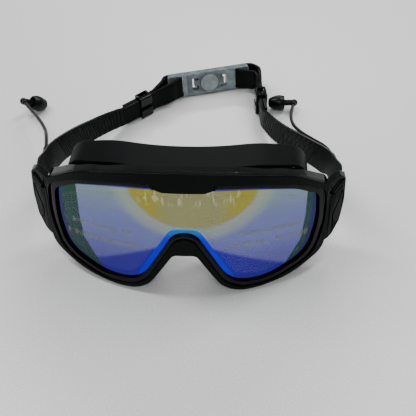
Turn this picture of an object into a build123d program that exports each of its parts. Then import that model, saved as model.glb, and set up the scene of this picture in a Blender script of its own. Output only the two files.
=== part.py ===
"""Large-frame swimming goggles with a clasped head strap and two tethered ear plugs.

Millimetres, +Z up, the lens facing -Y.  The goggles stand on the lower lobes of their
frame and on the back of their skirt, so they lean back, and the strap lies behind them
in a loop down to the surface.  The origin is on that surface, midway along the object.

The eyewear itself is drawn in the wearer's frame: X to the side, Y from the lens towards
the face, Z up in the lens's own plane, with Z = 0 at the lowest edge of the frame.  It is
then leaned back and lifted onto the surface.  Strap, buckle and ear plugs are drawn where
they lie.
"""

from build123d import *
from math import cos, hypot, pi, radians, sin, sqrt, tan
import os

os.makedirs("parts", exist_ok=True)

# ---------------------------------------------------------------- driving dimensions
# Curve of the front and how the goggles stand
FRONT_R = 140.0             # radius of the front, about an axis parallel to Z
LEAN = 14.0                 # how far the goggles lean back, in degrees
STRAP_BACK = 102.0          # from the nose to the origin, along Y

# Lens opening, half of a symmetrical outline
OPENING_HALF_WIDTH = 76.4
OPENING_BOTTOM = 5.2        # above the lowest edge of the frame
OPENING_HEIGHT = 66.2
ARCH_HEIGHT = 35.5          # nose arch above the bottom of the opening
ARCH_HALF_WIDTH = 6.2
ARCH_FOOT = 27.0            # half width of the arch at the bottom of the opening

# Rim of the frame round the opening
RIM_TOP = 10.6
RIM_SIDE = 6.4
RIM_NOSE = 13.6
COVER_T = 3.0               # satin front cover
FRAME_DEPTH = 9.0           # front of the cover to the back of the lens frame
FRAME_INSET = 0.4           # lens frame's edge inside the cover's edge
BEZEL = 2.4                 # glossy lip round the opening, seen from the front
BEZEL_SIDE = 4.0            # the same lip at the outer ends
BEZEL_BOTTOM = 3.2          # the same lip under the opening
BEZEL_STEP = 0.9            # lip's face behind the cover's face

# Tab of the cover that hangs over the lens at the brow
TAB_HALF_WIDTH = 11.6
TAB_DROP = 2.2
TAB_SLOPE = 5.9

# Lens, and the stack behind it
LENS_STEP = 2.6             # lens's face behind the cover's face
LENS_T = 2.0
LENS_LAP = 1.6              # lens edge under the bezel
FILM_T = 0.25
FILM_MARGIN = 4.6
GASKET_T = 0.6
FLANGE_T = 1.5
RETAINER_INSIDE = 0.3       # back of the retainer ahead of the back of the frame
POCKET_LAP = 3.4            # pocket for skirt and retainer, outside the opening
NECK_T = 1.2
SEAT_GAP = 0.1              # clearance round what seats in the frame

# Skirt, the soft face seal
SKIRT_WALL = 2.0
SKIRT_DEPTH = 20.0          # behind the frame
SKIRT_TOP_FLARE = 2.0       # rear edge above the frame's top
SKIRT_INSIDE = 6.4          # rear edge inside the opening's half width
SKIRT_SHOULDER_T = 1.4
FACE_R = 150.0              # curve of the rear edge, to fit a face

# Wings at the two ends of the cover
WING_REACH = 14.8           # tip beyond the opening's half width
WING_T = 4.6
WING_BELOW = 16.4           # top of the wing under the top of the frame
ANCHOR_SLOT_W = 3.0
ANCHOR_SLOT_L = 8.4
ANCHOR_SLOT_TILT = 48.0
ANCHOR_SLOT_IN = 5.8        # middle of the slot inside the wing's tip
ANCHOR_SLOT_UNDER = 8.2     # and under its top
ANCHOR_BAR_R = 1.7
ANCHOR_BAR_L = 8.6
ANCHOR_RECESS_L = 10.2      # the bar sits in this recess, over the slot
ANCHOR_RECESS_T = 2.9
ANCHOR_BAR_CLEAR = 0.35
INLAY_SINK = 0.9
INLAY_PROUD = 0.2
INLAY_GAP = 0.25

# Strap
STRAP_W = 14.6
STRAP_NECK_W = 11.0
STRAP_T = 2.0
STRAP_END_W = 7.2           # width where it goes through the anchor slot
TAIL_PAST_KEEPER = 17.0
STRAND_GAP = 0.5            # between the two strands inside a keeper
STRAND_OFF_BUCKLE = 0.3     # between a strand and the buckle it passes over
CURVE_STEPS = 3             # straight pieces between two stations of a strap

# Keepers
KEEPER_L = 9.5
KEEPER_WALL = 1.5
KEEPER_CLEAR = 0.35
KEEPER_SLIT = 3.4
KEEPER_TRAVEL = 4.0

# Buckle
BUCKLE_HALF_L = 31.0
BUCKLE_H = 17.2
BUCKLE_T = 5.8
BUCKLE_YAW = 15.0
BUCKLE_LEAN = 12.0
BUCKLE_AT = (6.4, 186.8)
BUCKLE_WALL = 1.2
BUCKLE_SPLIT = 16.2         # joint between the halves, from the middle
BUCKLE_CORNER_R = 3.0
BAR_SLOT_W = 3.0
STRAP_SIDE_CLEAR = 0.45
WINDOW_AT = 12.0
WINDOW_W = 1.8
WINDOW_H = 9.5
BLADE_T = 1.3
BLADE_H = 12.0
BLADE_END = 10.5
BUTTON_R = 6.8
BUTTON_T = 1.6
BUTTON_PROUD = 0.2
BUTTON_TRAVEL = 1.3
BUTTON_CLEAR = 0.3
BUTTON_RING_W = 1.6
BUTTON_STEM_R = 2.0

# Ear plugs and their tethers
PLUG_R = 5.5
PLUG_DOME_L = 11.6
PLUG_STEM_R = 2.2
PLUG_STEM_L = 7.4
PLUG_WALL = 1.0
PLUG_BALL_R = 2.5
COLLAR_R = 1.7
COLLAR_L = 4.2              # from the middle of the ball
TETHER_D = 2.4
SOCKET_R = 1.8              # moulded stub that each tether comes out of
SOCKET_L = 5.0

# ---------------------------------------------------------------- outlines
OPENING_TOP = OPENING_BOTTOM + OPENING_HEIGHT
ARCH_TOP = OPENING_BOTTOM + ARCH_HEIGHT
FRAME_TOP = OPENING_TOP + RIM_TOP
NOTCH_TOP = ARCH_TOP - RIM_NOSE
WING_HALF_SPAN = OPENING_HALF_WIDTH + WING_REACH
WING_TOP = FRAME_TOP - WING_BELOW
ANCHOR_X = WING_HALF_SPAN - ANCHOR_SLOT_IN
ANCHOR_Z = WING_TOP - ANCHOR_SLOT_UNDER
SKIRT_HALF_WIDTH = OPENING_HALF_WIDTH - SKIRT_INSIDE
REACH = 90.0                # deeper than any piece of the eyewear
TALL = 130.0


def fitted(corners, radii, loop):
    """The corner radii, each no larger than the runs on its two sides leave room for."""
    count = len(corners)
    first = 0 if loop else 1
    radii = dict(enumerate(radii, first))
    runs = [Vector(*corners[(i + 1) % count]) - Vector(*corners[i]) for i in range(count)]
    half_turn = {i: radians(runs[i - 1].get_angle(runs[i])) / 2 for i in radii}
    for i in range(count if loop else count - 1):
        ends = [j % count for j in (i, i + 1) if j % count in radii]
        used = sum(radii[j] * tan(half_turn[j]) for j in ends)
        room = 0.98 * runs[i].length
        for j in ends:
            radii[j] *= min(1, room / used)
    return list(radii.values())


def half_closed(corners, radii):
    """Face inside a half outline, given from the bottom middle to the top middle, and its mirror."""
    with BuildSketch() as shape:
        with BuildLine():
            FilletPolyline(*corners, radius=fitted(corners, radii, False))
            mirror(about=Plane.YZ)
        make_face()
    return shape.sketch


def closed(corners, radii):
    """Face inside a closed outline, with a radius for each of its corners."""
    with BuildSketch() as shape:
        with BuildLine():
            FilletPolyline(*corners, radius=fitted(corners, radii, True), close=True)
        make_face()
    return shape.sketch


def grown(face, amount):
    with BuildSketch() as shape:
        add(face)
        offset(amount=amount, kind=Kind.ARC)
    return shape.sketch


def mirrored(face):
    with BuildSketch() as shape:
        add(face)
        mirror(about=Plane.YZ, mode=Mode.REPLACE)
    return shape.sketch


END = OPENING_HALF_WIDTH
opening_corners = [
    (0, ARCH_TOP),
    (ARCH_HALF_WIDTH, ARCH_TOP),
    (ARCH_FOOT, OPENING_BOTTOM),
    (END - 28.4, OPENING_BOTTOM),
    (END - 4.8, OPENING_BOTTOM + 11.2),
    (END, OPENING_BOTTOM + 32.0),
    (END - 1.4, OPENING_TOP - 15.0),
    (END - 16.0, OPENING_TOP - 6.4),
    (END - 40.0, OPENING_TOP - 1.2),
    (END - 65.0, OPENING_TOP),
    (0, OPENING_TOP),
]
opening = half_closed(opening_corners, [9.5, 18, 40, 18, 60, 7, 30, 90, 100])

bezel_moves = [
    (0, -BEZEL), (-BEZEL * 0.6, -BEZEL), (-BEZEL * 0.6, -BEZEL_BOTTOM), (0, -BEZEL_BOTTOM),
    (BEZEL_SIDE * 0.8, -BEZEL_BOTTOM * 0.8), (BEZEL_SIDE, 0), (BEZEL_SIDE, BEZEL * 0.8),
    (BEZEL * 0.6, BEZEL), (0, BEZEL), (0, BEZEL), (0, BEZEL),
]
bezel_corners = [(x + dx, z + dz) for (x, z), (dx, dz) in zip(opening_corners, bezel_moves)]
bezel_outline = half_closed(bezel_corners, [7.5, 20, 42, 20, 60, 9, 32, 90, 100])

RIM_END = END + RIM_SIDE
rim_corners = [
    (0, NOTCH_TOP),
    (ARCH_HALF_WIDTH + 0.4, NOTCH_TOP),
    (ARCH_FOOT - 3.2, 0),
    (END - 35.4, 0),
    (END - 14.0, OPENING_BOTTOM - 0.6),
    (RIM_END - 2.4, OPENING_BOTTOM + 11.0),
    (RIM_END, OPENING_BOTTOM + 29.4),
    (RIM_END - 2.2, OPENING_TOP - 10.2),
    (END - 16.6, OPENING_TOP + 3.0),
    (END - 46.0, FRAME_TOP - 1.8),
    (0, FRAME_TOP),
]
rim = half_closed(rim_corners, [4.2, 20, 60, 60, 11, 40, 9, 55, 150])

tab = half_closed(
    [
        (0, OPENING_TOP - TAB_DROP),
        (TAB_HALF_WIDTH, OPENING_TOP - TAB_DROP),
        (TAB_HALF_WIDTH + TAB_SLOPE, OPENING_TOP),
        (TAB_HALF_WIDTH + TAB_SLOPE, OPENING_TOP + BEZEL + 2),
        (0, OPENING_TOP + BEZEL + 2),
    ],
    [5, 1.5, 0.5],
)

wing = closed(
    [
        (END - 1.0, WING_TOP - 25.6),
        (END + 1.0, WING_TOP - 5.1),
        (END + 3.2, WING_TOP - 3.2),
        (WING_HALF_SPAN - 5.6, WING_TOP),
        (WING_HALF_SPAN - 0.6, WING_TOP - 4.6),
        (WING_HALF_SPAN, WING_TOP - 19.6),
        (WING_HALF_SPAN - 1.6, WING_TOP - 33.0),
        (WING_HALF_SPAN - 5.4, WING_TOP - 41.0),
        (RIM_END - 2.0, WING_TOP - 46.6),
        (END - 1.0, WING_TOP - 41.6),
    ],
    [0.5, 0.8, 1.5, 3, 3, 30, 16, 8, 6, 0.5],
)

inlay = closed(
    [
        (WING_HALF_SPAN - 4.0, WING_TOP - 20.6),
        (WING_HALF_SPAN - 1.8, WING_TOP - 12.6),
        (WING_HALF_SPAN - 1.4, WING_TOP - 13.6),
        (WING_HALF_SPAN - 1.5, WING_TOP - 24.6),
        (WING_HALF_SPAN - 2.6, WING_TOP - 33.4),
        (WING_HALF_SPAN - 5.8, WING_TOP - 34.0),
        (WING_HALF_SPAN - 6.4, WING_TOP - 26.6),
    ],
    [14, 0.2, 0.2, 14, 1.6, 1.6, 8],
)

# Skirt: a tube from the back of the frame to the face, a little taller and narrower there
skirt_front = half_closed(
    [
        (0, ARCH_TOP - 2.2),
        (ARCH_HALF_WIDTH - 1.2, ARCH_TOP - 2.2),
        (ARCH_FOOT - 1.5, OPENING_BOTTOM - 1.4),
        (END - 34.4, OPENING_BOTTOM - 1.4),
        (END - 10.0, OPENING_BOTTOM + 8.6),
        (SKIRT_HALF_WIDTH + 2.0, OPENING_BOTTOM + 34.0),
        (SKIRT_HALF_WIDTH - 3.5, FRAME_TOP - 11.5),
        (END - 38.0, FRAME_TOP - 4.0),
        (0, FRAME_TOP - 3.4),
    ],
    [6, 18, 30, 24, 60, 11, 70],
)
skirt_rear = half_closed(
    [
        (0, ARCH_TOP - 4.0),
        (ARCH_HALF_WIDTH - 1.2, ARCH_TOP - 4.0),
        (ARCH_FOOT - 2.0, OPENING_BOTTOM + 0.7),
        (END - 35.0, OPENING_BOTTOM + 0.7),
        (END - 12.0, OPENING_BOTTOM + 10.4),
        (SKIRT_HALF_WIDTH, OPENING_BOTTOM + 34.4),
        (SKIRT_HALF_WIDTH - 1.5, FRAME_TOP - 8.0),
        (END - 34.0, FRAME_TOP + SKIRT_TOP_FLARE),
        (0, FRAME_TOP + SKIRT_TOP_FLARE),
    ],
    [6, 18, 30, 24, 60, 17, 60],
)


# ---------------------------------------------------------------- curved shells
def slab(face, front, back):
    """The part of an outline's extrusion between two depths behind the curved front."""
    with BuildPart() as piece:
        with BuildSketch(Plane.XZ):
            add(face)
        extrude(amount=-REACH)
        with BuildSketch(Plane.XY.offset(-TALL / 5)):
            with Locations((0, FRONT_R)):
                Circle(FRONT_R - front)
                Circle(FRONT_R - back, mode=Mode.SUBTRACT)
        extrude(amount=TALL, mode=Mode.INTERSECT)
    return piece.part


# ---------------------------------------------------------------- eyewear
with BuildPart() as lens_frame:
    add(slab(grown(rim, -FRAME_INSET), COVER_T, FRAME_DEPTH))
    add(slab(grown(bezel_outline, -SEAT_GAP), BEZEL_STEP, COVER_T))
    add(slab(opening, -1, FRAME_DEPTH + 1), mode=Mode.SUBTRACT)
    add(slab(grown(opening, LENS_LAP + SEAT_GAP), LENS_STEP, FRAME_DEPTH + 1), mode=Mode.SUBTRACT)
    add(slab(grown(opening, POCKET_LAP), LENS_STEP + LENS_T, FRAME_DEPTH + 1), mode=Mode.SUBTRACT)
    add(slab(grown(tab, SEAT_GAP), -1, LENS_STEP), mode=Mode.SUBTRACT)

LEANING = Location((0, 0, 0), (-LEAN, 0, 0))
LIFT = -(LEANING * lens_frame.part).bounding_box().min.Z
STAND = Location((0, -STRAP_BACK, LIFT), (-LEAN, 0, 0))
LAID = Location((0, -STRAP_BACK, 0))
nodes = {}


def keep(name, part, place):
    """Put a finished piece in its place and write it."""
    part = place * part
    part.label = name
    nodes[name] = part
    export_step(part, f"parts/{name}.step")


keep("lens_frame", lens_frame.part, STAND)


def anchor_slot(side, length, width):
    with BuildSketch() as shape:
        with Locations((side * ANCHOR_X, ANCHOR_Z)):
            SlotOverall(length, width, rotation=side * ANCHOR_SLOT_TILT)
    return shape.sketch


with BuildPart() as front_cover:
    add(slab(rim, 0, COVER_T))
    for face in (wing, mirrored(wing)):
        add(slab(face, 0, COVER_T))
        add(slab(face - grown(rim, SEAT_GAP), 0, WING_T))
    add(slab(bezel_outline, -1, WING_T + 1), mode=Mode.SUBTRACT)
    add(slab(tab, 0, LENS_STEP - FILM_T - 0.1))
    for face in (inlay, mirrored(inlay)):
        add(slab(grown(face, INLAY_GAP), -1, INLAY_SINK), mode=Mode.SUBTRACT)
    for side in (1, -1):
        slot = anchor_slot(side, ANCHOR_SLOT_L, ANCHOR_SLOT_W)
        recess = anchor_slot(side, ANCHOR_RECESS_L, 2 * (ANCHOR_BAR_R + ANCHOR_BAR_CLEAR))
        add(slab(slot, -1, WING_T + 1), mode=Mode.SUBTRACT)
        add(slab(recess, -1, ANCHOR_RECESS_T), mode=Mode.SUBTRACT)
keep("front_cover", front_cover.part, STAND)

for side, face in (("right", inlay), ("left", mirrored(inlay))):
    with BuildPart() as side_inlay:
        add(slab(face, -INLAY_PROUD, INLAY_SINK))
    keep(f"side_inlay_{side}", side_inlay.part, STAND)

with BuildPart() as lens:
    add(slab(grown(opening, LENS_LAP), LENS_STEP, LENS_STEP + LENS_T))
keep("lens", lens.part, STAND)

with BuildPart() as lens_film:
    add(slab(grown(opening, -FILM_MARGIN), LENS_STEP - FILM_T, LENS_STEP))
keep("lens_film", lens_film.part, STAND)

GASKET_AT = LENS_STEP + LENS_T
with BuildPart() as lens_gasket:
    add(slab(grown(opening, POCKET_LAP - SEAT_GAP), GASKET_AT, GASKET_AT + GASKET_T))
    add(slab(grown(opening, 0.4), GASKET_AT - 1, GASKET_AT + GASKET_T + 1), mode=Mode.SUBTRACT)
keep("lens_gasket", lens_gasket.part, STAND)

FLANGE_AT = GASKET_AT + GASKET_T
neck_outer = grown(opening, POCKET_LAP - SEAT_GAP)
neck_inner = grown(opening, POCKET_LAP - SEAT_GAP - NECK_T)
lip_inner = grown(opening, 0.4)
RETAINER_AT = FLANGE_AT + FLANGE_T
RETAINER_T = FRAME_DEPTH - RETAINER_INSIDE - RETAINER_AT
with BuildPart() as retainer_ring:
    add(slab(grown(opening, POCKET_LAP - 2 * SEAT_GAP - NECK_T), RETAINER_AT, RETAINER_AT + RETAINER_T))
    add(slab(lip_inner, RETAINER_AT - 1, RETAINER_AT + RETAINER_T + 1), mode=Mode.SUBTRACT)
keep("retainer_ring", retainer_ring.part, STAND)


def skirt_body(inset):
    """Solid inside the skirt's outer surface, or inside its cavity when inset by the wall."""
    with BuildPart() as body:
        with BuildSketch(Plane.XZ.offset(-FRAME_DEPTH + 6)):
            add(grown(skirt_front, -inset))
        with BuildSketch(Plane.XZ.offset(-FRAME_DEPTH - 1.8 * SKIRT_DEPTH)):
            add(grown(skirt_rear, -inset))
        loft()
    return body.part


with BuildPart() as skirt:
    add(skirt_body(0))
    with BuildSketch(Plane.XY.offset(-TALL / 5)):
        with Locations((0, FRONT_R)):
            Circle(FRONT_R - FRAME_DEPTH)
    extrude(amount=TALL, mode=Mode.INTERSECT)
    add(slab(neck_outer, FLANGE_AT, FRAME_DEPTH + SKIRT_SHOULDER_T))
    add(slab(neck_inner, RETAINER_AT, FRAME_DEPTH), mode=Mode.SUBTRACT)
    add(slab(lip_inner, 0, RETAINER_AT + 0.5), mode=Mode.SUBTRACT)
    add(skirt_body(SKIRT_WALL), mode=Mode.SUBTRACT)
    with BuildSketch(Plane.XY.offset(-TALL / 5)):
        with Locations((0, FRAME_DEPTH + SKIRT_DEPTH + FACE_R)):
            Circle(FACE_R)
    extrude(amount=TALL, mode=Mode.SUBTRACT)
keep("skirt", skirt.part, STAND)


# ---------------------------------------------------------------- strap, loop and keepers
def unit(x, y, z=0.0):
    return Vector(x, y, z).normalized()


yaw = radians(BUCKLE_YAW)
lean = radians(BUCKLE_LEAN)
buckle_along = Vector(cos(yaw), sin(yaw), 0)
buckle_front = Vector(sin(yaw) * cos(lean), -cos(yaw) * cos(lean), sin(lean))
buckle_up = buckle_front.cross(buckle_along)
buckle_middle = Vector(*BUCKLE_AT, (BUCKLE_H * cos(lean) + BUCKLE_T * sin(lean)) / 2)
BUCKLE = Plane(origin=buckle_middle, x_dir=buckle_along, z_dir=buckle_front)
BAR_SLOT_AT = BUCKLE_HALF_L - 9.6
STRAND_OFF = BUCKLE_T / 2 + STRAND_OFF_BUCKLE + STRAP_T / 2
TURN_R = STRAP_T / 2 + 0.2


def on_buckle(side, along, front):
    """A strap station given along and in front of the buckle, outward on one side."""
    point = buckle_middle + buckle_along * (side * along) + buckle_front * front
    return (*point, *buckle_up, STRAP_W)


STRAP_Z = KEEPER_WALL + KEEPER_CLEAR + STRAP_W / 2 + 0.1
UPRIGHT = (0.0, 0.0, 1.0)

# Where each strap passes through its anchor slot, and the bar that holds it there
slot_depth = FRONT_R - sqrt(FRONT_R ** 2 - ANCHOR_X ** 2)
slot_slope = ANCHOR_X / sqrt(FRONT_R ** 2 - ANCHOR_X ** 2)
slot_tilt = radians(ANCHOR_SLOT_TILT)
bar_at = (ANCHOR_RECESS_T - ANCHOR_BAR_R - SEAT_GAP) * hypot(1, slot_slope)
back_lean = radians(LEAN)


def worn(x, y, z):
    """A direction of the wearer's frame, as it stands."""
    return Vector(x, y * cos(back_lean) + z * sin(back_lean), z * cos(back_lean) - y * sin(back_lean))


def in_slot(side, past):
    """A strap station in line with the anchor slot, a distance past the cover's face."""
    point = worn(side * ANCHOR_X, slot_depth + past, ANCHOR_Z) + Vector(0, 0, LIFT)
    return (*point, *worn(side * cos(slot_tilt), 0, sin(slot_tilt)), STRAP_END_W)


# Stations of the single strand, from the anchor slot to the keeper: centre, upward
# direction across the strap, width
left_run = [
    in_slot(-1, bar_at),
    in_slot(-1, 4.0),
    in_slot(-1, 9.0),
    (-ANCHOR_X - 0.5, 59.0, 47.3, -0.50, 0.00, 0.84, STRAP_NECK_W),
    (-ANCHOR_X - 0.4, 66.5, 43.8, -0.44, 0.00, 0.89, STRAP_NECK_W),
    (-ANCHOR_X + 0.2, 73.0, 39.6, -0.40, 0.00, 0.91, STRAP_W - 0.6),
    (-ANCHOR_X + 1.0, 80.0, 36.6, -0.36, 0.00, 0.93, STRAP_W),
    (-ANCHOR_X + 3.4, 92.5, 30.6, -0.30, 0.00, 0.95, STRAP_W),
    (-ANCHOR_X + 7.8, 106.5, 24.2, -0.25, 0.00, 0.97, STRAP_W),
    (-ANCHOR_X + 14.4, 120.5, 18.0, -0.19, 0.00, 0.98, STRAP_W),
    (-ANCHOR_X + 23.0, 133.8, 13.2, -0.12, 0.00, 0.99, STRAP_W),
]
right_run = [
    in_slot(1, bar_at),
    in_slot(1, 4.0),
    in_slot(1, 9.0),
    (ANCHOR_X + 0.5, 58.0, 47.4, 0.52, 0.00, 0.84, STRAP_NECK_W),
    (ANCHOR_X - 0.4, 65.5, 43.8, 0.48, 0.00, 0.88, STRAP_NECK_W),
    (ANCHOR_X - 2.6, 73.0, 39.8, 0.46, 0.00, 0.89, STRAP_W - 0.6),
    (ANCHOR_X - 5.6, 80.5, 36.4, 0.44, 0.00, 0.90, STRAP_W),
    (ANCHOR_X - 11.6, 92.5, 30.4, 0.38, 0.00, 0.93, STRAP_W),
    (ANCHOR_X - 18.8, 106.5, 23.6, 0.32, 0.00, 0.95, STRAP_W),
    (ANCHOR_X - 25.8, 119.0, 18.0, 0.26, 0.00, 0.97, STRAP_W),
    (ANCHOR_X - 32.8, 132.0, 13.4, 0.18, 0.00, 0.98, STRAP_W),
]
KEEPER_LEFT = (-38.5, 157.5)
KEEPER_RIGHT = (43.5, 165.0)
LEFT_HEADING = unit(0.75, 0.66)
RIGHT_HEADING = unit(-0.14, 0.99)
STRAIGHT = KEEPER_L / 2 + KEEPER_TRAVEL + 0.8
STRAND_PITCH = STRAP_T + STRAND_GAP


def smooth(stations, steps):
    """Stations along a smooth curve through the given ones, for every quantity they hold."""
    padded = [stations[0], *stations, stations[-1]]
    curve = []
    for before, start, end, after in zip(padded, padded[1:], padded[2:], padded[3:]):
        for step in range(steps):
            u = step / steps
            curve.append(tuple(
                0.5 * (2 * b + (c - a) * u + (2 * a - 5 * b + 4 * c - d) * u ** 2
                       + (3 * b - a - 3 * c + d) * u ** 3)
                for a, b, c, d in zip(before, start, end, after)
            ))
    return curve + [stations[-1]]


def sections(stations):
    """A plane and a width for each station, square to the way the strap runs there."""
    points = [Vector(*station[:3]) for station in stations]
    result = []
    for i, station in enumerate(stations):
        ahead = (points[min(i + 1, len(points) - 1)] - points[max(i - 1, 0)]).normalized()
        up = Vector(*station[3:6])
        across = (up - ahead * up.dot(ahead)).normalized()
        result.append((Plane(origin=points[i], x_dir=across, z_dir=ahead), station[6]))
    return result


def outer_side(keeper, heading):
    """The level direction square to a strap at its keeper, away from the head."""
    outward = Vector(-heading.Y, heading.X, 0)
    return outward if outward.X * keeper[0] > 0 else outward * -1


def near_keeper(keeper, heading, shift, off):
    """A station on one strand beside a keeper: shift along it, off to its outer side."""
    point = Vector(*keeper, STRAP_Z) + heading * shift + outer_side(keeper, heading) * off
    return (*point, *UPRIGHT, STRAP_W)


def whole_strap(side, run, keeper, heading, front_points, back_points):
    """All of a strap: to the keeper, through the buckle's slot, back round its bar to the tail."""
    through = [
        on_buckle(side, BAR_SLOT_AT + TURN_R + 0.1, STRAND_OFF),
        on_buckle(side, BAR_SLOT_AT + TURN_R * 0.3, STRAND_OFF - TURN_R * 0.3),
        on_buckle(side, BAR_SLOT_AT, STRAND_OFF - TURN_R - 0.1),
        on_buckle(side, BAR_SLOT_AT, -STRAND_OFF + TURN_R + 0.1),
        on_buckle(side, BAR_SLOT_AT + TURN_R * 0.3, -STRAND_OFF + TURN_R * 0.3),
        on_buckle(side, BAR_SLOT_AT + TURN_R + 0.1, -STRAND_OFF),
    ]
    single = smooth([*run, near_keeper(keeper, heading, -TAIL_PAST_KEEPER - 1.0, 0)], CURVE_STEPS)
    inner = near_keeper(keeper, heading, STRAIGHT, 0)
    front = smooth([inner, *front_points, through[0]], CURVE_STEPS)
    outer = near_keeper(keeper, heading, STRAIGHT, STRAND_PITCH)
    back = smooth([through[-1], *back_points, outer], CURVE_STEPS)
    tail = near_keeper(keeper, heading, -TAIL_PAST_KEEPER, STRAND_PITCH)
    return [*single, *front[:-1], *through, *back[1:], tail]


left_stations = whole_strap(
    -1, left_run, KEEPER_LEFT, LEFT_HEADING,
    [on_buckle(-1, 31.0, 9.6), on_buckle(-1, 25.6, 5.8)],
    [on_buckle(-1, 27.0, -STRAND_OFF - 0.2), on_buckle(-1, 32.4, -3.0), on_buckle(-1, 36.0, 4.0)],
)
right_stations = whole_strap(
    1, right_run, KEEPER_RIGHT, RIGHT_HEADING,
    [on_buckle(1, 33.2, 12.0), on_buckle(1, 29.6, 8.0), on_buckle(1, 25.6, 5.6)],
    [on_buckle(1, 27.0, -STRAND_OFF - 0.2), on_buckle(1, 33.0, -3.6), on_buckle(1, 36.4, 1.5),
     on_buckle(1, 37.2, 8.0)],
)

# Tether routes, from the strap's outer face to the middle of the ear plug's ball
left_route = [
    (-ANCHOR_X - 3.2, 73.0, 43.5),
    (-ANCHOR_X - 6.8, 90.0, 38.6),
    (-ANCHOR_X - 11.6, 105.5, 32.0),
    (-105.8, 122.5, 25.3),
    (-116.0, 139.5, 18.3),
    (-126.1, 155.2, 12.9),
]
right_route = [
    (ANCHOR_X + 1.4, 73.0, 43.0),
    (ANCHOR_X - 0.8, 87.5, 38.4),
    (ANCHOR_X - 9.2, 101.0, 32.6),
    (69.4, 115.5, 25.6),
    (65.4, 131.5, 18.3),
    (65.9, 150.0, 11.6),
    (69.5, 168.0, 5.4),
]


def between(start, end, distance):
    """The point this far from start on the way to end."""
    start = Vector(*start)
    return start + (Vector(*end) - start).normalized() * distance


for side, sign, stations, route in (
    ("left", -1, left_stations, left_route),
    ("right", 1, right_stations, right_route),
):
    bar_way = worn(sign * cos(slot_tilt), slot_slope * cos(slot_tilt), sin(slot_tilt))
    bar_plane = Plane(origin=stations[0][:3], z_dir=bar_way)
    stub_way = Vector(*route[1]) - Vector(*route[0])
    with BuildPart() as strap:
        for plane, width in sections(stations):
            with BuildSketch(plane):
                Rectangle(width, STRAP_T)
        loft(ruled=True)
        with BuildSketch(bar_plane):
            Circle(ANCHOR_BAR_R)
        extrude(amount=ANCHOR_BAR_L / 2, both=True)
        with BuildSketch(Plane(origin=route[0], z_dir=stub_way)):
            Circle(SOCKET_R)
        extrude(amount=SOCKET_L)
    keep(f"strap_{side}", strap.part, LAID)

for side, keeper, heading in (
    ("left", KEEPER_LEFT, LEFT_HEADING),
    ("right", KEEPER_RIGHT, RIGHT_HEADING),
):
    outward = outer_side(keeper, heading)
    middle = Vector(*keeper, STRAP_Z) + outward * (STRAND_PITCH / 2)
    across = Plane(origin=middle, x_dir=outward, z_dir=heading)
    room_t = STRAP_T + STRAND_PITCH + 2 * KEEPER_CLEAR
    room_w = STRAP_W + 2 * KEEPER_CLEAR
    with BuildPart() as sleeve:
        with BuildSketch(across.offset(-KEEPER_L / 2)):
            RectangleRounded(room_t + 2 * KEEPER_WALL, room_w + 2 * KEEPER_WALL, KEEPER_WALL)
            Rectangle(room_t, room_w, mode=Mode.SUBTRACT)
        extrude(amount=KEEPER_L)
        with BuildSketch(across.offset(-KEEPER_L)):
            with Locations((-room_t / 2 - KEEPER_WALL, 0)):
                Rectangle(3 * KEEPER_WALL, KEEPER_SLIT)
        extrude(amount=2 * KEEPER_L, mode=Mode.SUBTRACT)
        with BuildSketch(Plane(origin=middle, x_dir=heading, z_dir=(0, 0, 1))):
            Rectangle(KEEPER_L - 2 * KEEPER_WALL, room_t)
        extrude(amount=room_w, mode=Mode.SUBTRACT)
    keep(f"keeper_{side}", sleeve.part, LAID)

# ---------------------------------------------------------------- buckle
BUCKLE_SIDE = Plane(origin=buckle_middle, x_dir=buckle_along, z_dir=buckle_up * -1)
CAVITY_T = BUCKLE_T - 2 * BUCKLE_WALL
BUTTON_BACK = BUCKLE_T / 2 + BUTTON_PROUD - BUTTON_T
BLADE_FRONT = BUTTON_BACK - BUTTON_TRAVEL - BUTTON_CLEAR
STEM_END = BUTTON_TRAVEL + 0.1 - CAVITY_T / 2


def bracket_windows():
    """Two bracket-shaped windows, one each side of the button."""
    with BuildSketch() as shape:
        for side in (1, -1):
            with Locations((side * WINDOW_AT, 0)):
                Rectangle(WINDOW_W, WINDOW_H)
            for end in (1, -1):
                with Locations((side * (WINDOW_AT - WINDOW_W), end * (WINDOW_H - WINDOW_W) / 2)):
                    Rectangle(2 * WINDOW_W, WINDOW_W)
    return shape.sketch


def buckle_half(start, end):
    """The buckle's outside with its strap slot, between two distances along it."""
    with BuildPart() as half:
        with BuildSketch(BUCKLE_SIDE):
            SlotOverall(2 * BUCKLE_HALF_L, BUCKLE_T)
        extrude(amount=BUCKLE_H / 2, both=True)
        with BuildSketch(BUCKLE.offset(-BUCKLE_T)):
            RectangleRounded(2 * BUCKLE_HALF_L, BUCKLE_H, BUCKLE_CORNER_R)
            for side in (1, -1):
                with Locations((side * BAR_SLOT_AT, 0)):
                    Rectangle(BAR_SLOT_W, STRAP_W + 2 * STRAP_SIDE_CLEAR, mode=Mode.SUBTRACT)
        extrude(amount=2 * BUCKLE_T, mode=Mode.INTERSECT)
        with BuildSketch(BUCKLE.offset(-BUCKLE_T)):
            with Locations(((start + end) / 2, 0)):
                Rectangle(end - start, 2 * BUCKLE_H)
        extrude(amount=2 * BUCKLE_T, mode=Mode.INTERSECT)
    return half.part


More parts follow.
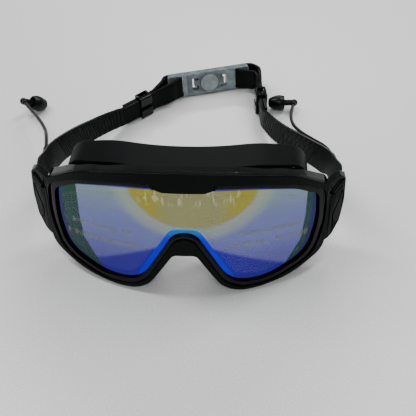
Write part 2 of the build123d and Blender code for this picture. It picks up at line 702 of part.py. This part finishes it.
with BuildPart() as buckle_socket:
    add(buckle_half(-BUCKLE_SPLIT, BUCKLE_HALF_L))
    with BuildSketch(BUCKLE.offset(BUCKLE_T / 2 - BUCKLE_WALL / 2)):
        Circle(BUTTON_R + BUTTON_RING_W)
    extrude(amount=BUCKLE_WALL / 2 + BUTTON_PROUD)
    with BuildSketch(BUCKLE.offset(-CAVITY_T / 2)):
        with Locations(((BLADE_END + 1 - BUCKLE_SPLIT - 1) / 2, 0)):
            Rectangle(BLADE_END + BUCKLE_SPLIT + 2, BLADE_H + 2 * BUTTON_CLEAR)
    extrude(amount=CAVITY_T, mode=Mode.SUBTRACT)
    with BuildSketch(BUCKLE.offset(BLADE_FRONT)):
        Circle(BUTTON_R + BUTTON_CLEAR)
    extrude(amount=BUCKLE_T, mode=Mode.SUBTRACT)
    with BuildSketch(BUCKLE.offset(-BUCKLE_T)):
        add(bracket_windows())
    extrude(amount=2 * BUCKLE_T, mode=Mode.SUBTRACT)
keep("buckle_socket", buckle_socket.part, LAID)

with BuildPart() as buckle_tongue:
    add(buckle_half(-BUCKLE_HALF_L, -BUCKLE_SPLIT - SEAT_GAP))
    with BuildSketch(BUCKLE.offset(BLADE_FRONT - BLADE_T)):
        with Locations(((BLADE_END - BUCKLE_SPLIT - 1) / 2, 0)):
            Rectangle(BLADE_END + BUCKLE_SPLIT + 1, BLADE_H)
        Circle(BUTTON_STEM_R + BUTTON_CLEAR, mode=Mode.SUBTRACT)
        add(bracket_windows(), mode=Mode.SUBTRACT)
    extrude(amount=BLADE_T)
keep("buckle_tongue", buckle_tongue.part, LAID)

with BuildPart() as release_button:
    with BuildSketch(BUCKLE.offset(BUTTON_BACK)):
        Circle(BUTTON_R)
    extrude(amount=BUTTON_T)
    with BuildSketch(BUCKLE.offset(STEM_END)):
        Circle(BUTTON_STEM_R)
    extrude(amount=BUTTON_BACK - STEM_END)
keep("release_button", release_button.part, LAID)

# ---------------------------------------------------------------- ear plugs and tethers
for side, route, way in (
    ("left", left_route, unit(0.68, 0.47, -0.56)),
    ("right", right_route, unit(-1.0, -0.05, 0.02)),
):
    ball = Vector(*route[-1])
    sideways = way.cross(Vector(0, 0, 1)).normalized()
    profile = Plane(origin=ball, x_dir=sideways, z_dir=sideways.cross(way))
    rear = PLUG_STEM_L
    tip = PLUG_STEM_L + PLUG_DOME_L
    collar_way = Vector(*route[-2]) - ball
    with BuildPart() as earplug:
        with BuildSketch(profile):
            with BuildLine():
                Polyline(
                    (0, tip - PLUG_DOME_L / 2), (0, 0), (PLUG_STEM_R, 0),
                    (PLUG_STEM_R, rear + PLUG_DOME_L * 0.4),
                    (PLUG_R - 2 * PLUG_WALL, rear + PLUG_DOME_L * 0.4),
                    (PLUG_R - 1.6 * PLUG_WALL, rear), (PLUG_R - 0.6 * PLUG_WALL, rear),
                )
                Spline(
                    (PLUG_R - 0.6 * PLUG_WALL, rear),
                    (PLUG_R, rear + PLUG_DOME_L * 0.32),
                    (PLUG_R * 0.78, rear + PLUG_DOME_L * 0.74),
                    (0, tip),
                    tangents=[(0.2, 1), (-1, 0)],
                )
                Line((0, tip), (0, tip - PLUG_DOME_L / 2))
            make_face()
        revolve(axis=Axis(ball, way))
        with Locations(ball):
            Sphere(PLUG_BALL_R)
        with BuildSketch(Plane(origin=ball, z_dir=collar_way)):
            Circle(COLLAR_R)
        extrude(amount=COLLAR_L)
    keep(f"earplug_{side}", earplug.part, LAID)

    points = [
        between(route[0], route[1], SOCKET_L),
        *[Vector(*point) for point in route[1:-1]],
        between(route[-1], route[-2], COLLAR_L),
    ]
    runs = [end - start for start, end in zip(points, points[1:])]
    bends = [
        0.45 * min(before.length, after.length) / tan(radians(before.get_angle(after)) / 2)
        for before, after in zip(runs, runs[1:])
    ]
    with BuildPart() as tether:
        with BuildLine() as path:
            FilletPolyline(*points, radius=bends)
        with BuildSketch(Plane(origin=points[0], z_dir=runs[0])):
            Circle(TETHER_D / 2)
        sweep()
    length = sum(edge.length for edge in path.edges())
    print(side, "tether length", round(length, 1), "radii", [round(bend, 1) for bend in bends])
    print("  volume", round(tether.part.volume, 2), "section by length",
          round(pi * TETHER_D ** 2 / 4 * length, 2))
    keep(f"tether_{side}", tether.part, LAID)
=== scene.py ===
from math import radians

import bmesh
import bpy
from mathutils import Matrix, Vector


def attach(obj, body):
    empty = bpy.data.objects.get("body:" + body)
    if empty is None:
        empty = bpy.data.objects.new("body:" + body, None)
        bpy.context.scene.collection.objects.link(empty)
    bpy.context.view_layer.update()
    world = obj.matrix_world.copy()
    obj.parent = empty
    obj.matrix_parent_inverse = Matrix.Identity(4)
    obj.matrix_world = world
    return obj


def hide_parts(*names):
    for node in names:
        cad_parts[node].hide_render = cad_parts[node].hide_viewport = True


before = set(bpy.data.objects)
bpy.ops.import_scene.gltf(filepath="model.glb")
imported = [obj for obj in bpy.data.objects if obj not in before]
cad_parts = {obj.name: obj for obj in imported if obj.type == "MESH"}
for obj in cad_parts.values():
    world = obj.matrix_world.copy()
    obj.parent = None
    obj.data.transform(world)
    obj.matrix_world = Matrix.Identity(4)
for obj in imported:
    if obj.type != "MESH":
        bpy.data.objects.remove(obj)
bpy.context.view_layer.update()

MM = 0.001
STRAP_BACK = 102.0      # mm from the nose to the origin, along Y
LEAN = radians(14)      # how far the goggles lean back
FRONT_R = 140.0         # mm, radius of the curved front
LIFT = 3.09             # mm from the surface to the wearer's frame
STANDING = Matrix.Translation((0, -STRAP_BACK * MM, LIFT * MM)) @ Matrix.Rotation(-LEAN, 4, "X")

# Front and back of the two sheets, in mm behind the face of the cover
LENS_DEPTHS = (2.6, 4.6)
FILM_DEPTHS = (2.35, 2.54)

STRAP_RIBS = (-16, 41, 2.2, 0.38)     # from and to along Y, pitch and height, in mm
SHARP = radians(34)     # edges that turn more than this are rounded over
FLAT = radians(0.04)    # faces that turn less than this are one face
SAME_SPOT = 2e-6        # metres


# ---------------------------------------------------------------- shader nodes
class Wire:
    """A shader socket with arithmetic, where each operation adds a Math node."""

    def __init__(self, finish, socket):
        self.finish = finish
        self.socket = socket

    def math(self, operation, *values):
        return self.finish.node("ShaderNodeMath", {"operation": operation}, dict(enumerate(values)))

    def __add__(self, other):
        return self.math("ADD", self, other)

    __radd__ = __add__

    def __mul__(self, other):
        return self.math("MULTIPLY", self, other)

    def __sub__(self, other):
        return self.math("SUBTRACT", self, other)

    def __rsub__(self, other):
        return self.math("SUBTRACT", other, self)

    def __truediv__(self, other):
        return self.math("DIVIDE", self, other)

    def __pow__(self, other):
        return self.math("POWER", self, other)

    def __abs__(self):
        return self.math("ABSOLUTE", self)

    def most(self, other):
        return self.math("MAXIMUM", self, other)

    def step(self, start, end):
        """0 below start, 1 above end and smooth between; start may be the larger."""
        settings = {"interpolation_type": "SMOOTHSTEP"}
        inputs = {"Value": self, "From Min": start, "From Max": end}
        return self.finish.node("ShaderNodeMapRange", settings, inputs)


class Finish:
    """A material: a Principled shader with its constants, and nodes for what varies."""

    def __init__(self, name, color, roughness, **constants):
        self.material = bpy.data.materials.new(name)
        self.material.use_nodes = True
        self.nodes = self.material.node_tree.nodes
        self.links = self.material.node_tree.links
        self.shader = self.nodes["Principled BSDF"]
        self.shader.inputs["Base Color"].default_value = (*color, 1)
        self.shader.inputs["Roughness"].default_value = roughness
        for socket, value in constants.items():
            self.shader.inputs[socket.replace("_", " ")].default_value = value

    def node(self, kind, settings=None, inputs=None, output=0):
        made = self.nodes.new(kind)
        for key, value in (settings or {}).items():
            setattr(made, key, value)
        for key, value in (inputs or {}).items():
            if isinstance(value, Wire):
                self.links.new(value.socket, made.inputs[key])
            else:
                made.inputs[key].default_value = value
        return Wire(self, made.outputs[output])

    def feed(self, socket, wire):
        self.links.new(wire.socket, self.shader.inputs[socket])

    def place(self):
        """The point on the piece, in its own frame."""
        return self.node("ShaderNodeTexCoord", output="Object")

    def axes(self):
        point = self.place()
        return [self.node("ShaderNodeSeparateXYZ", None, {0: point}, axis) for axis in "XYZ"]

    def noise(self, scale, detail=3.0, roughness=0.55):
        inputs = {"Vector": self.place(), "Scale": scale, "Detail": detail, "Roughness": roughness}
        return self.node("ShaderNodeTexNoise", None, inputs)

    def mix(self, factor, first, second):
        """A colour from the first to the second as the factor goes from 0 to 1."""
        made = self.nodes.new("ShaderNodeMix")
        made.data_type = "RGBA"
        for key, value in ((0, factor), (6, first), (7, second)):
            if isinstance(value, Wire):
                self.links.new(value.socket, made.inputs[key])
            elif key:
                made.inputs[key].default_value = (*value, 1)
            else:
                made.inputs[key].default_value = value
        return Wire(self, made.outputs[2])

    def bump(self, height, strength, distance):
        inputs = {"Height": height, "Strength": strength, "Distance": distance}
        self.feed("Normal", self.node("ShaderNodeBump", None, inputs))


# ---------------------------------------------------------------- finishes
def moulded(name, dark, light, roughness, shine, grain, depth):
    """Moulded plastic or silicone with a fine grain and slightly uneven tone and gloss."""
    finish = Finish(name, dark, roughness, Specular_IOR_Level=shine)
    cloud = finish.noise(35, 4)
    finish.feed("Base Color", finish.mix(cloud.step(0.3, 0.75), dark, light))
    finish.feed("Roughness", roughness + (cloud - 0.5) * 0.16)
    finish.bump(finish.noise(grain, 2), 0.35, depth)
    return finish


INK = (0.0016, 0.0022, 0.0022)
COAL = (0.0030, 0.0042, 0.0042)
SLATE = (0.0060, 0.0082, 0.0082)
satin_black = moulded("satin_moulded_black", INK, COAL, 0.28, 0.07, 2600, 0.00002)
height = satin_black.axes()[2] / MM
satin_black.feed("Roughness", 0.28 - height.step(66, 74) * 0.18)
inlay_satin = moulded("satin_inlay", COAL, SLATE, 0.42, 0.12, 3000, 0.00002)
gloss_black = moulded("polished_black", (0.0010, 0.0012, 0.0012), INK, 0.06, 0.16, 900, 0.000003)
keeper_black = moulded("keeper_black", (0.0015, 0.0015, 0.0017), INK, 0.14, 0.25, 1400, 0.00001)
skirt_silicone = moulded("skirt_silicone", INK, COAL, 0.46, 0.05, 1800, 0.00002)
strap_silicone = moulded("strap_silicone", INK, COAL, 0.32, 0.06, 1800, 0.00002)
plug_silicone = moulded("plug_silicone", INK, COAL, 0.28, 0.16, 1600, 0.00002)


def mirrored_lens():
    """A mirror coating that turns from gold at the brow through lavender to indigo, with a painted
    highlight along creases of the film.
    """
    finish = Finish("mirrored_lens", (0.2, 0.2, 0.4), 0.1, Metallic=0.95)
    x, y, z = finish.axes()
    x = x / MM
    z = z / MM
    side = abs(x)
    lavender = (0.170, 0.190, 0.44)
    pale = (0.225, 0.305, 0.335)
    tint = finish.mix(z.step(44, 68), lavender, pale)
    tint = finish.mix(z.step(36, 20) * 0.75, tint, (0.125, 0.12, 0.44))
    low = (z - 21) + (side - 38) * 0.42
    tint = finish.mix(low.step(1.5, -1.5), tint, (0.034, 0.020, 0.34))
    ring = ((x - 5) / 44) ** 2 + ((z - 76) / 38) ** 2
    ring = ring.math("SQRT", ring)
    tint = finish.mix(ring.step(1.12, 0.92) * 0.75, tint, (0.36, 0.40, 0.32))
    gold = finish.mix(abs(x - 5).step(12, 26), (0.30, 0.285, 0.12), (0.36, 0.31, 0.02))
    tint = finish.mix(ring.step(0.86, 0.80) * 0.92, tint, gold)
    # Pale streaks across the upper middle where the film is creased: a painted highlight that stands in
    # for the light the creases catch, not a colour of the lens.
    crease_at = finish.node("ShaderNodeCombineXYZ", None, {0: x * 0.42, 1: 0.0, 2: z * 0.12})
    crease = finish.node("ShaderNodeTexNoise", None, {"Vector": crease_at, "Scale": 1.0, "Detail": 3.0})
    crease_highlight = crease.step(0.54, 0.60) * z.step(57, 63) * abs(x - 4).step(32, 24)
    tint = finish.mix(crease_highlight * 0.45, tint, (0.60, 0.62, 0.50))
    edge = abs(x - 3.4) + (44 - z).most(0) * 0.10 + (27 - z).most(0) * 0.45
    outer = finish.mix(z.step(60, 30), (0.022, 0.066, 0.052), (0.022, 0.060, 0.070))
    tint = finish.mix(edge.step(64.3, 64.9), tint, outer)
    rim_side = side + (40 - z).most(0) * 0.16 + (22 - z).most(0) * 0.6
    tint = finish.mix(rim_side.step(70.8, 72.0), tint, (0.030, 0.026, 0.13))
    nose = arch_distance(finish, x, z)
    blue = finish.mix(z.step(36, 43), (0.004, 0.006, 0.78), (0.012, 0.20, 0.62))
    tint = finish.mix(nose.step(3.5, 2.8), tint, blue)
    brow = z + (side / 76.4) ** 3 * 12
    tint = finish.mix(brow.step(68.9, 69.7), tint, (0.07, 0.05, 0.33))
    finish.feed("Base Color", tint)
    haze = finish.noise(60, 3)
    finish.feed("Roughness", 0.06 + haze * 0.06)
    return finish


def arch_distance(finish, x, z):
    """How far outside the nose arch a point of the lens is, in mm."""
    half_width, top, foot, bottom = 6.2, 40.7, 27.0, 5.2
    run = Vector((foot - half_width, bottom - top)).normalized()
    flank = (abs(x) - half_width) * -run.y + (z - top) * run.x
    over = z - top
    settings = {"operation": "SMOOTH_MAX"}
    return finish.node("ShaderNodeMath", settings, {0: flank, 1: over, 2: 5.0})


def printed_film():
    finish = Finish("printed_film", (0.42, 0.43, 0.34), 0.12)
    x, y, z = finish.axes()
    x = x / MM
    z = z / MM
    marks = None
    rows = ((-66, -30, 38.2, 3.0), (-70, -25, 29.4, 3.4), (30, 67, 39.4, 3.0), (24, 70.5, 31.6, 3.4))
    for number, (start, end, height, tall) in enumerate(rows):
        along = x - start
        across = abs(z - height) / (tall / 2)
        cell = along / 2.3
        seed = finish.node("ShaderNodeTexWhiteNoise", {"noise_dimensions": "1D"},
                           {"W": cell.math("FLOOR", cell) + number * 37.0})
        within = abs(cell.math("FRACT", cell) - 0.5) * 2
        dash = abs(within - 0.45).step(0.36, 0.22) * across.step(1.05, 0.85)
        dash = dash * seed.step(0.12, 0.2) * along.step(0, 0.4) * (end - x).step(0, 0.4)
        bar = abs(across - 0.5).step(0.2, 0.35)
        mark = dash * (0.35 + bar * 0.65)
        marks = mark if marks is None else marks.most(mark)
    finish.feed("Alpha", 0.02 + marks * 0.40)
    return finish


def smoky_plastic(name, color, roughness, transmission):
    finish = Finish(name, color, roughness, Transmission_Weight=transmission, IOR=1.49)
    cloud = finish.noise(220, 3)
    finish.feed("Roughness", roughness + cloud * 0.12)
    darker = tuple(0.7 * c for c in color)
    finish.feed("Base Color", finish.mix(cloud.step(0.35, 0.7), darker, color))
    finish.bump(finish.noise(300, 3), 0.9, 0.0006)
    return finish


lens_mirror = mirrored_lens()
film_clear = printed_film()
smoke_clear = smoky_plastic("smoky_clear", (0.27, 0.33, 0.35), 0.06, 0.5)
smoke_frosted = smoky_plastic("smoky_frosted", (0.42, 0.48, 0.49), 0.35, 0.2)


# ---------------------------------------------------------------- pieces from the frame's nodes
def new_piece(name, mesh, finish, body="goggles", stands_for=(), matrix=None):
    piece = bpy.data.objects.new(name, mesh)
    bpy.context.scene.collection.objects.link(piece)
    if matrix is not None:
        piece.matrix_world = matrix
    mesh.materials.clear()
    mesh.materials.append(finish.material)
    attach(piece, body)
    if stands_for:
        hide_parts(*stands_for)
    return piece


def curve_normals(mesh):
    """Give the curved faces of a sheet the normals of the cylinder that they follow."""
    normals = []
    for face in mesh.polygons:
        for corner in face.loop_indices:
            spot = mesh.vertices[mesh.loops[corner].vertex_index].co
            outward = Vector((spot.x, spot.y - FRONT_R * MM, 0)).normalized()
            along = face.normal.dot(outward)
            if abs(along) > 0.9:
                normals.append(outward if along > 0 else -outward)
            else:
                normals.append(face.normal)
    mesh.normals_split_custom_set(normals)


def refine_sheet(shape, front, back):
    """Cut a curved sheet into small faces and put each corner on its own true cylinder."""
    for axis, reach, pitch in ((0, 78, 3), (2, 90, 9)):
        for number in range(-reach // pitch, reach // pitch + 1):
            spot, way = [0, 0, 0], [0, 0, 0]
            spot[axis], way[axis] = number * pitch * MM, 1
            geometry = [*shape.verts, *shape.edges, *shape.faces]
            bmesh.ops.bisect_plane(shape, geom=geometry, plane_co=spot, plane_no=way)
    axis_y = FRONT_R * MM
    for vertex in shape.verts:
        away = Vector((vertex.co.x, vertex.co.y - axis_y))
        depth = FRONT_R - away.length / MM
        true_depth = front if depth < (front + back) / 2 else back
        away = away.normalized() * (FRONT_R - true_depth) * MM
        vertex.co.x, vertex.co.y = away.x, away.y + axis_y


def raise_ribs(shape, start, end, pitch, height):
    """Ribs across a strap, one every pitch along Y, as far apart as they are on its face."""
    for number in range(int((end - start) / pitch * 2) + 1):
        level = start + number * pitch / 2
        geometry = [*shape.verts, *shape.edges, *shape.faces]
        bmesh.ops.bisect_plane(shape, geom=geometry, plane_co=(0, level, 0), plane_no=(0, 1, 0))
    shape.normal_update()
    for vertex in shape.verts:
        number = (vertex.co.y - start) / (pitch / 2)
        on_crest = abs(number - round(number)) < 0.01 and round(number) % 2 == 1
        if on_crest and start < vertex.co.y < end:
            sideways = Vector((vertex.normal.x, vertex.normal.y, 0))
            vertex.co += sideways * height


def rounded_copy(node, name, finish, width, body="goggles", sheet=None, ribs=None):
    """The node's shape with its edges rounded over, or remade as a smooth curved sheet."""
    shape = bmesh.new()
    shape.from_mesh(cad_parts[node].data)
    bmesh.ops.remove_doubles(shape, verts=shape.verts, dist=SAME_SPOT)
    bmesh.ops.dissolve_limit(
        shape, angle_limit=FLAT, verts=shape.verts, edges=shape.edges, delimit={"NORMAL"})
    if sheet:
        shape.transform(STANDING.inverted())
        refine_sheet(shape, *sheet)
    if ribs:
        raise_ribs(shape, *(value * MM for value in ribs))
    mesh = bpy.data.meshes.new(name)
    shape.to_mesh(mesh)
    shape.free()
    mesh.shade_smooth()
    mesh.set_sharp_from_angle(angle=SHARP)
    piece = new_piece(name, mesh, finish, body, (node,), STANDING if sheet else None)
    if sheet:
        curve_normals(mesh)
        return
    bevel = piece.modifiers.new("rounding", "BEVEL")
    bevel.width = width * MM
    bevel.segments = 3
    bevel.limit_method = "ANGLE"
    bevel.angle_limit = SHARP
    bevel.use_clamp_overlap = False
    bevel.harden_normals = True


rounded_copy("front_cover", "cover_moulding", satin_black, 0.5)
rounded_copy("lens_frame", "lens_frame_moulding", gloss_black, 0.35)
rounded_copy("side_inlay_left", "inlay_left", inlay_satin, 0.2)
rounded_copy("side_inlay_right", "inlay_right", inlay_satin, 0.2)
rounded_copy("lens", "lens_shell", lens_mirror, 0, sheet=LENS_DEPTHS)
rounded_copy("lens_film", "film_sheet", film_clear, 0, sheet=FILM_DEPTHS)
rounded_copy("skirt", "face_skirt", skirt_silicone, 0.45)
rounded_copy("keeper_left", "keeper_sleeve_left", keeper_black, 0.35, "left_keeper")
rounded_copy("keeper_right", "keeper_sleeve_right", keeper_black, 0.35, "right_keeper")
rounded_copy("buckle_socket", "clasp_socket", smoke_clear, 0.3)
rounded_copy("buckle_tongue", "clasp_tongue", smoke_clear, 0.3)
rounded_copy("release_button", "clasp_button", smoke_frosted, 0.3, "button")
rounded_copy("earplug_left", "ear_plug_left", plug_silicone, 0.2)
rounded_copy("earplug_right", "ear_plug_right", plug_silicone, 0.2)
rounded_copy("strap_left", "head_strap_left", strap_silicone, 0.15, ribs=STRAP_RIBS)
rounded_copy("strap_right", "head_strap_right", strap_silicone, 0.15, ribs=STRAP_RIBS)

for node, finish in (("lens_gasket", plug_silicone), ("retainer_ring", satin_black)):
    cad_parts[node].data.materials.clear()
    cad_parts[node].data.materials.append(finish.material)

# ---------------------------------------------------------------- tethers
TETHER_D = 2.4
left_route = [
    (-88.6, 73.0, 43.5), (-92.2, 90.0, 38.6), (-97.0, 105.5, 32.0), (-105.8, 122.5, 25.3),
    (-116.0, 139.5, 18.3), (-126.1, 155.2, 12.9),
]
right_route = [
    (86.8, 73.0, 43.0), (84.6, 87.5, 38.4), (76.2, 101.0, 32.6), (69.4, 115.5, 25.6),
    (65.4, 131.5, 18.3), (65.9, 150.0, 11.6), (69.5, 168.0, 5.4),
]
SOCKET_L = 5.0
COLLAR_L = 4.2


def laid(point):
    """A point given from the nose, in mm, in the frame's own metres."""
    x, y, z = point
    return Vector((x, y - STRAP_BACK, z)) * MM


for side, route in (("left", left_route), ("right", right_route)):
    points = [laid(point) for point in route]
    points[0] += (points[1] - points[0]).normalized() * SOCKET_L * MM
    points[-1] += (points[-2] - points[-1]).normalized() * COLLAR_L * MM
    line = bpy.data.curves.new(f"tether_cord_{side}", "CURVE")
    line.dimensions = "3D"
    spline = line.splines.new("NURBS")
    spline.points.add(len(points) - 1)
    for spot, point in zip(spline.points, points):
        spot.co = (*point, 1)
    spline.order_u = 3
    spline.use_endpoint_u = True
    line.bevel_depth = TETHER_D / 2 * MM
    line.bevel_resolution = 6
    line.resolution_u = 24
    line.use_fill_caps = True
    cord = new_piece(f"tether_cord_{side}", line, plug_silicone,
                     stands_for=(f"tether_{side}",))

# ---------------------------------------------------------------- floor, light and camera
FLOOR_HALF = 3.0
floor_mesh = bpy.data.meshes.new("table_top")
floor_mesh.from_pydata(
    [(-FLOOR_HALF, -FLOOR_HALF, 0), (FLOOR_HALF, -FLOOR_HALF, 0), (FLOOR_HALF, FLOOR_HALF, 0),
     (-FLOOR_HALF, FLOOR_HALF, 0)], [], [(0, 1, 2, 3)])
table_top = bpy.data.objects.new("table_top", floor_mesh)
bpy.context.scene.collection.objects.link(table_top)
table_finish = Finish("pale_laminate", (0.6, 0.6, 0.59), 0.35)
speckle = table_finish.noise(1400, 2)
speckled = table_finish.mix(speckle.step(0.35, 0.65), (0.60, 0.605, 0.59), (0.74, 0.745, 0.73))
table_finish.feed("Base Color", speckled)
table_finish.bump(speckle, 0.15, 0.0001)
floor_mesh.materials.append(table_finish.material)

world = bpy.data.worlds.new("studio")
bpy.context.scene.world = world
world.use_nodes = True
world.node_tree.nodes["Background"].inputs["Color"].default_value = (0.95, 0.98, 1.0, 1)
world.node_tree.nodes["Background"].inputs["Strength"].default_value = 0.38


def lamp(name, place, aim, width, height, power):
    light = bpy.data.lights.new(name, "AREA")
    light.shape = "RECTANGLE"
    light.size = width
    light.size_y = height
    light.energy = power
    made = bpy.data.objects.new(name, light)
    bpy.context.scene.collection.objects.link(made)
    made.location = place
    made.rotation_euler = (Vector(aim) - Vector(place)).to_track_quat("-Z", "Y").to_euler()


lamp("ceiling_strip_left", (-0.9, 0.45, 1.5), (0, 0, 0), 0.16, 1.2, 20)
lamp("ceiling_strip_right", (0.8, 0.75, 1.5), (0, 0, 0), 0.16, 1.2, 17)
lamp("ceiling_strip_front", (0.1, -1.2, 1.7), (0, 0, 0), 1.2, 0.22, 11)
lamp("ceiling_strip_back", (0.1, 1.5, 1.2), (0, 0, 0), 1.0, 0.16, 10)

CAMERA_AT = Vector((0.0265, -0.3395, 0.3527))
CAMERA_BACK = Vector((0.03434, -0.65516, 0.75471))
CAMERA_ROLL = radians(-0.9)
camera_data = bpy.data.cameras.new("camera")
camera_data.lens = 62.3
camera_data.sensor_width = 36
camera = bpy.data.objects.new("camera", camera_data)
bpy.context.scene.collection.objects.link(camera)
camera.location = CAMERA_AT
turn = (-CAMERA_BACK).to_track_quat("-Z", "Y").to_matrix() @ Matrix.Rotation(CAMERA_ROLL, 3, "Z")
camera.rotation_euler = turn.to_euler()
bpy.context.scene.camera = camera
